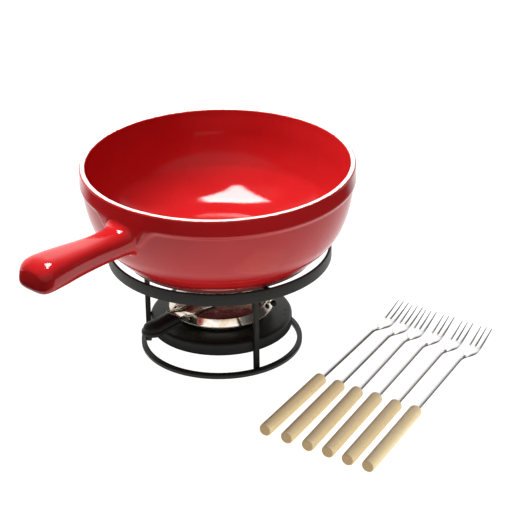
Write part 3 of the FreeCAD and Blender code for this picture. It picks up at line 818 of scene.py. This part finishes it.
def smooth_series(places, values, place):
    """Smooth curve through values at places (Catmull-Rom)."""
    last = len(places) - 2
    index = min(max(int(np.searchsorted(places, place)) - 1, 0), last)
    before, after = max(index - 1, 0), min(index + 2, last + 1)
    span = places[index + 1] - places[index]
    t = (place - places[index]) / span
    rise_in = (values[index + 1] - values[before]) / (places[index + 1] - places[before]) * span
    rise_out = (values[after] - values[index]) / (places[after] - places[index]) * span
    return ((2 * t ** 3 - 3 * t ** 2 + 1) * values[index] + (t ** 3 - 2 * t ** 2 + t) * rise_in
            + (-2 * t ** 3 + 3 * t ** 2) * values[index + 1] + (t ** 3 - t ** 2) * rise_out)


def signed_power(value, power):
    return math.copysign(abs(value) ** power, value)


def handle_section(half_width, half_height, centre, fullness, lean):
    """Loaf-shaped section as (across, height) pairs with outward directions.

    Fullness squares the upper corners, and lean draws the sides in towards the top.
    """
    section = []
    for step in range(HANDLE_TURN_STEPS):
        angle = math.tau * step / HANDLE_TURN_STEPS
        cosine, sine = math.cos(angle), math.sin(angle)
        power = 2 / (fullness if sine > 0.0 else max(fullness, LOW_FULLNESS))
        rise = signed_power(sine, power)
        across = half_width * signed_power(cosine, power) * (1.0 - lean * (rise + 1.0) / 2)
        out = Vector((signed_power(cosine, 2 - power) / half_width,
                      signed_power(sine, 2 - power) / half_height))
        section.append((Vector((across, centre + half_height * rise)), out.normalized()))
    return section


def on_wall(across, height):
    """Point of the pot's outside that lies at an offset across the handle and a height."""
    reach = RIM_RADIUS
    for _ in range(6):
        angle = math.degrees(math.atan2(across, reach))
        reach = math.sqrt(max(outer_radius(angle, height) ** 2 - across ** 2, 1.0))
    return Vector((reach, across, height))


def make_pot_handle():
    """Stub handle whose root flares out on to the wall and whose end is broad and round."""
    rows = root_rows()
    straight = HANDLE_END - HANDLE_TOP_ROUND
    for t in fractions(40, 1):
        reach = between(HANDLE_ROOT, straight, t)
        rows.append([Vector((reach, *flat)) for flat, _ in handle_section(*handle_shape(reach))])
    for t in fractions(28, 1):
        reach = straight + HANDLE_TOP_ROUND * math.sin(math.pi / 2 * t)
        width, height, centre, *rest = handle_shape(reach)
        low, high = centre - height, centre + height
        left = HANDLE_END - reach
        top = high - edge_inset(left, HANDLE_TOP_ROUND, HANDLE_TOP_DROP)
        foot = low + edge_inset(left, HANDLE_LOW_ROUND, HANDLE_LOW_ROUND)
        width -= edge_inset(left, HANDLE_END_ROUND, HANDLE_END_ROUND)
        half, centre = (top - foot) / 2, (top + foot) / 2
        rows.append(end_row(reach, handle_section(width, half, centre, *rest), low, high))
    for shrink in (0.75, 0.45, 0.2, 0.02):
        section = handle_section(width * shrink, half * shrink, centre, *rest)
        reach = HANDLE_END + HANDLE_BULGE * (1.0 - shrink ** 2)
        rows.append(end_row(reach, section, low, high))
    points, faces = lofted(rows)
    faces.pop(-2)
    matrix = outwards_frame(POT_HANDLE_HEADING, low_z("caquelon"))
    return add_piece("caquelon_handle", (points, faces), "pot", matrix=matrix, sharp=60.0)


def root_rows():
    """Rows from the wall, landed a flare outside the handle's root, that curve on to it."""
    rows = []
    for t in fractions(16):
        row = []
        for flat, out in handle_section(*handle_shape(HANDLE_ROOT)):
            flare = HANDLE_FLARE + HANDLE_TOP_FLARE * max(out.y, 0.0)
            corner = on_wall(*flat)
            landing = on_wall(*(flat + out * flare))
            start = Vector((HANDLE_ROOT, *flat))
            row.append(landing.lerp(corner, t).lerp(corner.lerp(start, t), t))
        rows.append(row)
    return rows


def end_row(reach, section, low, high):
    """Row of the handle's end at a reach, leaning back a little towards the top."""
    lean = HANDLE_END_LEAN * smooth(HANDLE_END - HANDLE_TOP_ROUND, HANDLE_END, reach)
    return [Vector((reach - lean * (flat.y - low) / (high - low), *flat)) for flat, _ in section]


def edge_inset(left, run, drop):
    """How far a rounded edge has drawn in, when it starts a run before the end."""
    if left >= run:
        return 0.0
    return drop * (1.0 - math.sqrt(max(1.0 - (1.0 - left / run) ** 2, 0.0)))


def make_underside():
    """Thin disc inside the foot, carrying the painted shade under the pot."""
    base = low_z("caquelon")
    profile = [(0.0, base + 1.15), (FOOT_HOLLOW, base + 1.0),
               (FOOT_HOLLOW, base + 0.9), (0.0, base + 1.05)]
    return add_piece("caquelon_underside", turned(profile, 96, closed=True), "pot")


def build_caquelon(finish):
    paint([make_bowl(), make_pot_handle()], finish)
    paint([make_underside()], painted_underside_shade_material())


# -------------------------------- burner


def add_burner_piece(node, ending, shape, body, heading=0.0, sharp=40.0):
    """A piece drawn along +X above the burner's own underside, turned to its heading."""
    matrix = outwards_frame(heading, low_z("fuel_cup"))
    return add_piece(f"{node}_{ending}", shape, body, [node], matrix, sharp)


def make_cup():
    """Drawn cup with a rolled mouth and the flange that the cover sits on."""
    low = FLANGE_HEIGHT - SHEET
    bore = CUP_RADIUS - SHEET
    profile = rounded_path([
        (0.0, 0.0, 0.0), (CUP_RADIUS, 0.0, 2.0), (CUP_RADIUS, low, 0.3),
        (FLANGE_RADIUS, low, 0.35), (FLANGE_RADIUS, FLANGE_HEIGHT, 0.35),
        (CUP_RADIUS, FLANGE_HEIGHT, 0.3), (CUP_RADIUS, CUP_HEIGHT, 0.35),
        (bore, CUP_HEIGHT, 0.35), (bore, SHEET, 1.2), (0.0, SHEET, 0.0)])
    return add_burner_piece("fuel_cup", "shell", turned(profile, 192), "burner")


def vented_disc(profile):
    """A turned thin profile, with the vents left out of the rows between their radii."""
    points, faces = turned(profile, DISC_STEPS)
    pitch = 360.0 / VENTS
    kept = []
    for index, face in enumerate(faces):
        row, step = divmod(index, DISC_STEPS)
        degrees = 360.0 * (step + 0.5) / DISC_STEPS
        from_vent = abs((degrees + pitch / 2) % pitch - pitch / 2)
        if row not in VENT_ROWS or from_vent >= VENT_ANGLE / 2:
            kept.append(face)
    return points, kept


def thicken(piece):
    """Give a sheet its thickness inwards and soft edges."""
    solid = piece.modifiers.new("sheet", "SOLIDIFY")
    solid.thickness = SHEET * MM
    solid.offset = -1.0
    edge = piece.modifiers.new("edges", "BEVEL")
    edge.width = 0.12 * MM
    edge.segments = 2
    edge.limit_method = "ANGLE"
    edge.angle_limit = math.radians(50.0)


def make_cover():
    """Pressed cover: flat vented top, rounded shoulder, conical skirt with the knob's slot."""
    low = FLANGE_HEIGHT + 0.1
    *shoulder, skirt_end = rounded_path([
        (30.0, COVER_TOP, 0.0), (COVER_TOP_RADIUS - 0.2, COVER_TOP, 1.7),
        (COVER_LOW_RADIUS, low, 0.0)], 8)
    slot_low, slot_high = STEM_HEIGHT - SLOT_HALF, STEM_HEIGHT + SLOT_HALF
    profile = [(radius, COVER_TOP) for radius in (1.6, 3.0, VENT_RADII[0], 8.0,
                                                  VENT_RADII[1], 20.0)] + shoulder
    for height in (slot_high, slot_low, 9.5, 8.2, low):
        if height < shoulder[-1].y:
            t = (shoulder[-1].y - height) / (shoulder[-1].y - low)
            profile.append(shoulder[-1].lerp(skirt_end, t))
    points, faces = vented_disc(profile)
    first = KNOB_HEADING - BURNER_HEADING - SLOT_MARGIN
    last = first + KNOB_TRAVEL + 2 * SLOT_MARGIN
    kept = []
    for face in faces:
        x, y, height = (sum(points[corner][axis] for corner in face) / 4 for axis in range(3))
        degrees = math.degrees(math.atan2(y, x)) % 360.0
        in_slot = slot_low < height < slot_high and first < degrees < last
        if not (in_slot and math.hypot(x, y) > COVER_TOP_RADIUS - 0.5):
            kept.append(face)
    piece = add_burner_piece("burner_cover", "shell", (points, kept), "cover", BURNER_HEADING)
    thicken(piece)
    return piece


def make_shutter():
    """Disc that turns under the cover, with the same three vents."""
    shape = vented_disc([(radius, SHUTTER_TOP) for radius in (
        PIVOT_HOLE, 3.0, VENT_RADII[0], 8.0, VENT_RADII[1], 22.0, 32.0, SHUTTER_RADIUS)])
    piece = add_burner_piece("shutter_disc", "sheet", shape, "shutter", BURNER_HEADING)
    thicken(piece)
    return piece


def make_pivot():
    """Rivet with a domed head over the cover and a flat one under the shutter."""
    low = SHUTTER_TOP - SHEET - 0.15
    profile = rounded_path([
        (0.0, low - 0.8, 0.0), (PIVOT_HEAD, low - 0.8, 0.25), (PIVOT_HEAD, low, 0.2),
        (PIVOT_RADIUS, low, 0.0), (PIVOT_RADIUS, COVER_TOP, 0.0), (PIVOT_HEAD, COVER_TOP, 0.1),
        (PIVOT_HEAD - 0.6, COVER_TOP + 0.75, 0.4), (0.0, COVER_TOP + 0.8, 0.0)], 5)
    return add_burner_piece("shutter_pivot", "rivet", turned(profile, 48), "cover")


def make_stem():
    """Pin from the shutter's edge into the knob, with its ends' edges broken."""
    start, end = SHUTTER_RADIUS, KNOB_REACH - 1.5
    profile = [(start, 0.0), (start, STEM_RADIUS * 0.9), (start + 0.2, STEM_RADIUS),
               (end - 0.2, STEM_RADIUS), (end, STEM_RADIUS * 0.8), (end, 0.0)]
    shape = along_x(profile, 24, STEM_HEIGHT)
    return add_burner_piece("knob_stem", "pin", shape, "shutter", KNOB_HEADING)


def make_knob():
    """Ball knob with a short neck towards the cover and a moulded flat on its end."""
    flat = KNOB_REACH + KNOB_RADIUS - 0.12
    neck = KNOB_REACH - 2.75
    profile = [(neck, STEM_RADIUS), (neck, 1.2), (neck + 0.35, 1.6)]
    profile += arc((KNOB_REACH, 0.0), KNOB_RADIUS, 180.0, 0.0, 22)[3:21]
    profile += [(flat, 0.7), (flat, 0.0)]
    shape = along_x(profile, 40, STEM_HEIGHT)
    return add_burner_piece("shutter_knob", "ball", shape, "shutter", KNOB_HEADING)


def channel_section(width, flange):
    """Half-open channel as (across, up) pairs: web below, flanges up, soft bends."""
    half, inside = width / 2, width / 2 - SHEET
    bend = min(1.4, flange * 0.8)
    inner = max(bend - SHEET, 0.15)
    return rounded_path([
        (-half, flange, 0.12), (-half, 0.0, bend), (half, 0.0, bend), (half, flange, 0.12),
        (inside, flange, 0.12), (inside, SHEET, inner), (-inside, SHEET, inner),
        (-inside, flange, 0.12)], 4)


def make_strip():
    """Pressed channel: its flat end on the cover flares out, then it rises to the grip."""
    flare = STRIP_START + 1.5
    stations = [(STRIP_START, 0.0, STRIP_FLARE_WIDTH, STRIP_FLARE_FLANGE - 0.05)]
    stations += [(between(flare, STRIP_FLARE_END, t), 0.0,
                  eased(STRIP_FLARE_WIDTH, STRIP_WIDTH, 0.0, 1.0, t),
                  eased(STRIP_FLARE_FLANGE, STRIP_FLANGE, 0.0, 1.0, t)) for t in fractions(12)]
    stations += [(between(*STRIP_SLOPE, t), eased(0.0, STRIP_RISE, 0.0, 1.0, t),
                  STRIP_WIDTH, STRIP_FLANGE) for t in fractions(16)]
    stations.append((GRIP_START + 1.5, STRIP_RISE, STRIP_WIDTH, STRIP_FLANGE))
    sections = [[Vector((x, across, COVER_TOP + 0.02 + lift + up))
                 for across, up in channel_section(width, flange)]
                for x, lift, width, flange in stations]
    return add_burner_piece("handle_strip", "channel", lofted(sections), "cover",
                            BURNER_HEADING, sharp=50.0)


def grip_outline(inset):
    """Plan of the grip at an inset: slightly waisted, square at the strip, round at the end."""
    half = GRIP_WIDTH / 2 - inset
    far = GRIP_END - GRIP_WIDTH / 2
    start = GRIP_START + inset * 0.55
    shoulder = start + GRIP_CORNER
    front = arc((shoulder, half - GRIP_CORNER), GRIP_CORNER, 180.0, 90.0, 5)
    side = [(between(shoulder, far, t), half - GRIP_WAIST * math.sin(math.pi * t))
            for t in fractions(16, 1)]
    cap = arc((far, 0.0), half, 90.0, 0.0, 14)[1:]
    upper = [(start, 0.0)] + front + side + cap
    return upper + [(x, -across) for x, across in upper[-2:0:-1]]


def make_grip():
    """Moulded grip: a lip all round, a step, and a domed plateau."""
    lip = [(0.0, 1.6), (0.0, 0.9), (0.25, 0.3), (0.8, 0.0), (2.9, 0.0), (3.3, 0.15), (3.5, 0.5)]
    plateau = [(3.6, 1.0), (3.9, 1.3), (4.8, 1.45), (6.6, 1.8), (7.6, 2.3), (8.3, 3.2),
               (8.7, 4.3), (9.15, 5.8), (9.4, 7.4), (GRIP_HEIGHT, 9.2)]
    sections = [[Vector((x, across, GRIP_BOTTOM + up)) for x, across in grip_outline(inset)]
                for up, inset in lip + plateau]
    return add_burner_piece("burner_grip", "moulding", lofted(sections), "cover",
                            BURNER_HEADING, sharp=55.0)


def build_burner(steel, plastic):
    paint([make_cup(), make_cover(), make_shutter(), make_pivot(), make_stem(), make_strip()],
          steel)
    paint([make_knob(), make_grip()], plastic)


# -------------------------------- forks


def fork_matrix(number):
    """Place of a fork drawn in metres along +X on the table, from its own CAD handle."""
    wood = f"fork_{number}_handle"
    centre = middle(wood)
    points = np.array([vertex.co for vertex in frame["nodes"][wood].data.vertices])
    long_axis = np.linalg.svd(points - points.mean(axis=0), full_matrices=False)[2][0]
    way = Vector((long_axis[0], long_axis[1], 0.0)).normalized()
    if way.dot(middle(f"fork_{number}_prongs") - centre) < 0.0:
        way = -way
    start = centre - way * WOOD_LENGTH / 2
    turn = Matrix.Rotation(math.atan2(way.y, way.x), 4, "Z")
    return Matrix.Translation((start.x * MM, start.y * MM, 0.0)) @ turn


def add_fork_piece(number, part, ending, shape):
    """A piece kept in its fork's own frame, so that its grain runs along the fork."""
    node = f"fork_{number}_{part}"
    piece = add_piece(f"{node}_{ending}", shape, f"fork_{number}")
    piece.matrix_world = fork_matrix(number)
    piece.visible_glossy = False
    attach(piece, f"fork_{number}")
    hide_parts(node)
    return piece


def make_wood(number):
    """Turned beech handle: chamfered near end, rounder far end with the shaft's hole."""
    profile = [(0.15, 0.0), (0.12, 2.0), (0.0, WOOD_RADIUS - 1.25), (0.08, WOOD_RADIUS - 1.0),
               (0.95, WOOD_RADIUS - 0.12), (1.25, WOOD_RADIUS)]
    profile += [(WOOD_LENGTH * t, WOOD_RADIUS + 0.03 * math.sin(math.pi * t))
                for t in (0.1, 0.25, 0.4, 0.55, 0.7, 0.85)]
    profile += arc((WOOD_LENGTH - WOOD_ROUND, WOOD_RADIUS - WOOD_ROUND), WOOD_ROUND, 90.0, 0.0, 8)
    profile += [(WOOD_LENGTH, SHAFT_RADIUS + 0.25), (WOOD_LENGTH - 0.4, SHAFT_RADIUS + 0.05),
                (WOOD_LENGTH - 1.5, SHAFT_RADIUS + 0.03)]
    return add_fork_piece(number, "handle", "wood", along_x(profile, 72, WOOD_RADIUS))


def head_station(x):
    """Half width, half thickness, middle height and flatness of the steel at x."""
    width = eased(SHAFT_RADIUS, SHAFT_RADIUS * 0.88, 150.0, NECK_START, x)
    width = eased(width, SHOULDER, NECK_END - 6.0, NECK_END + 7.0, x)
    width = eased(width, TINE_PITCH + 0.6, SLIT_START - 6.0, FORK_LENGTH, x)
    thick = eased(SHAFT_RADIUS, BLADE / 2, NECK_START, NECK_END, x)
    thick = eased(thick, TIP_HALF, SLIT_START, FORK_LENGTH, x)
    rise = max(x - LIFT_START, 0.0) / (FORK_LENGTH - LIFT_START)
    centre = eased(WOOD_RADIUS, BLADE / 2, NECK_START, NECK_END, x) + TIP_LIFT * rise ** 1.45
    return width, thick, centre, smooth(NECK_START + 8.0, NECK_END + 2.0, x)


def tine_edges(x, width):
    """Six edges across the head: outer tine, slit, middle tine, slit, outer tine."""
    half_tine = eased(1.45, 0.5, SLIT_START, FORK_LENGTH, x)
    pitch = eased(width * 0.70, TINE_PITCH, SLIT_START - 2.0, SLIT_START + 6.0, x)
    return [-width, -pitch + half_tine, -half_tine, half_tine, pitch - half_tine, width]


def cage_points(x):
    """Section of the steel's cage: six points above from side to side, and six below."""
    width, thick, centre, flat = head_station(x)
    sharp = 1.0 - 0.75 * smooth(FORK_LENGTH - 5.0, FORK_LENGTH, x)
    points = []
    for upper in (1, -1):
        for column, edge in enumerate(tine_edges(x, width)):
            angle = math.radians(165.0 - 30.0 * column)
            across = between(width * CAGE * math.cos(angle), edge, flat)
            flat_z = thick * sharp * (0.72 if column in (0, 5) else 1.0)
            up = upper * between(thick * CAGE * math.sin(angle), flat_z, flat)
            points.append((x, across, centre + up))
    return points


def make_steel(number):
    """Shaft, cranked neck, and head with three tines, as one subdivided cage."""
    xs = [WOOD_LENGTH - 1.6, WOOD_LENGTH - 1.2, 110.0, 140.0, 170.0, 190.0]
    xs += [between(NECK_START, NECK_END, t) for t in fractions(9)]
    xs += [216.0, 218.0, 220.5, 223.5, 227.0, SLIT_START - 0.8, SLIT_START, SLIT_START + 0.8]
    xs += [234.0, 239.0, 244.0, 249.0, 253.0, 256.5, FORK_LENGTH - 0.6, FORK_LENGTH]
    root, last = xs.index(SLIT_START), len(xs) - 1
    faces = []
    for row in range(last):
        here, there = row * 12, row * 12 + 12
        for column in range(5):
            if row >= root and column in SLIT_COLUMNS:
                continue
            faces.append((here + column, here + column + 1, there + column + 1, there + column))
            faces.append((here + 6 + column, there + 6 + column,
                          there + 7 + column, here + 7 + column))
        for column in range(6) if row >= root else (0, 5):
            faces.append((here + column, there + column, there + 6 + column, here + 6 + column))
    for row, columns in ((root, SLIT_COLUMNS), (last, (0, 2, 4))):
        for column in columns:
            corner = row * 12 + column
            faces.append((corner, corner + 1, corner + 7, corner + 6))
    faces.append(tuple(range(6)) + tuple(range(11, 5, -1)))
    points = [point for x in xs for point in cage_points(x)]
    piece = add_fork_piece(number, "prongs", "steel", (points, faces))
    subdivision = piece.modifiers.new("smooth", "SUBSURF")
    subdivision.levels = 2
    subdivision.render_levels = 2
    return piece


def build_forks(steel):
    for number in FORKS:
        paint([make_wood(number)], beech_material(number))
        paint([make_steel(number)], steel)


# -------------------------------- studio


def add_card(name, corners, matrix, finish):
    """A flat stage card with the given (x, y) corners."""
    mesh = bpy.data.meshes.new(name)
    mesh.from_pydata([(x, y, 0.0) for x, y in corners], [], [tuple(range(len(corners)))])
    mesh.materials.append(finish)
    card = bpy.data.objects.new(name, mesh)
    card.matrix_world = matrix
    bpy.context.scene.collection.objects.link(card)
    return card


def add_mirrored_card(name, corners, matrix, finish):
    """A stage card that only shows in reflections."""
    card = add_card(name, corners, matrix, finish)
    card.visible_camera = False
    card.visible_diffuse = False
    card.visible_shadow = False
    card.visible_transmission = False
    return card


def oblong(width, depth):
    """Corners of a rectangle round the middle."""
    return [(-width / 2, -depth / 2), (width / 2, -depth / 2),
            (width / 2, depth / 2), (-width / 2, depth / 2)]


def add_softbox(name, place, target, width, depth, power):
    """Rectangular area light that looks at a target."""
    light = bpy.data.lights.new(name, "AREA")
    light.shape = "RECTANGLE"
    light.size = width
    light.size_y = depth
    light.energy = power
    lamp = bpy.data.objects.new(name, light)
    place = Vector(place)
    aim = (Vector(target) - place).to_track_quat("-Z", "Y")
    lamp.matrix_world = Matrix.Translation(place) @ aim.to_matrix().to_4x4()
    bpy.context.scene.collection.objects.link(lamp)
    return lamp


def end_flag_place():
    """Upright, just beyond the pot handle's end and facing it."""
    upright = Matrix.Rotation(math.pi / 2, 4, "Y")
    reach = Matrix.Translation((HANDLE_END * MM + 0.045, 0.0, 0.0))
    return outwards_frame(POT_HANDLE_HEADING, 0.125) @ reach @ upright


def light_only(lamp, lit):
    """Let a lamp or card light only the pieces whose names the test picks, like a flag."""
    reached = bpy.data.collections.new(f"{lamp.name}_reach")
    for piece in bpy.context.scene.objects:
        if piece.type == "MESH" and lit(piece.name):
            reached.objects.link(piece)
    lamp.light_linking.receiver_collection = reached


def sky_colour(tree):
    """Brightness of the studio all round: a white backdrop behind the set, dim in front."""
    direction = add_node("TexCoord", tree=tree).outputs["Generated"]
    axes = add_node("SeparateXYZ", {0: direction}).outputs
    falloff = level(mask(axes["Y"], 0.50, 0.92), 0.50, 1.0)
    backdrop = times(mask(axes["Y"], 0.36, 0.54), falloff)
    backdrop = times(backdrop, mask(axes["Z"], 0.88, 0.48))
    front = times(mask(axes["Y"], -0.15, -0.95), 0.28)
    room = calc("ADD", front, 0.05)
    return calc("ADD", times(backdrop, 1.25), room)


def build_studio():
    """Pale table, softbox and window overhead, white backdrop, dim room in front."""
    table = oblong(TABLE_SIZE, TABLE_SIZE)
    floor = add_card("floor", table, Matrix.Identity(4), floor_material())
    light_only(floor, lambda name: not name.endswith("prongs_steel"))
    world = bpy.data.worlds.new("studio")
    world.use_nodes = True
    tree = world.node_tree
    tree.links.new(sky_colour(tree), tree.nodes["Background"].inputs["Color"])
    bpy.context.scene.world = world
    overhead = add_softbox("overhead", (-0.50, 0.22, 1.50), (0.0, 0.0, 0.12), 0.6, 0.7, 38.0)
    light_only(overhead, lambda name: name != "floor" and not name.startswith("fork_"))
    overhead.visible_glossy = False
    add_mirrored_card("window", WINDOW, Matrix.Translation((0.0, 0.0, 1.65)),
                      glow_material("window_light", 22.0))
    # dark flag seen only in reflections; its disc under the set is painted shadow
    add_mirrored_card("dark_flag", table, Matrix.Translation((0.0, 0.0, 0.003)),
                      cloth_material("flag_cloth_and_painted_shadow", table_cover))
    shade = add_mirrored_card("end_flag", oblong(0.20, 0.17), end_flag_place(),
                              cloth_material("black_cloth"))
    shade.visible_diffuse = True
    shade.visible_glossy = False
    upright = Matrix.Rotation(math.pi / 2, 4, "X")
    bounce = add_mirrored_card("bounce", oblong(2.6, 1.3),
                               Matrix.Translation((0.0, -1.3, 0.95)) @ upright,
                               glow_material("bounce_light", 1.25))
    light_only(bounce, lambda name: name.startswith(("burner_cover", "fuel_cup")))
    fill = add_softbox("fork_fill", (1.15, -0.95, 0.62), (0.2, -0.12, 0.0), 0.6, 0.6, 12.0)
    light_only(fill, lambda name: name.startswith("fork_"))


def build_camera():
    """Camera at the set's front, above it, with a long lens."""
    camera = bpy.data.cameras.new("camera")
    camera.sensor_width = 36.0
    camera.lens = CAMERA_LENS
    camera.clip_end = 20.0
    view = bpy.data.objects.new("camera", camera)
    pitch, yaw, roll = (math.radians(angle) for angle in CAMERA_ANGLES)
    turn = (Matrix.Rotation(-yaw, 4, "Z") @ Matrix.Rotation(math.pi / 2 - pitch, 4, "X")
            @ Matrix.Rotation(-roll, 4, "Z"))
    view.matrix_world = Matrix.Translation(CAMERA_PLACE) @ turn
    bpy.context.scene.collection.objects.link(view)
    bpy.context.scene.camera = view


bpy.context.scene.view_settings.view_transform = "Standard"
build_stand(paint_material())
build_caquelon(glaze_material())
build_burner(spun_steel_material(), plastic_material())
build_forks(fork_steel_material())
build_studio()
build_camera()
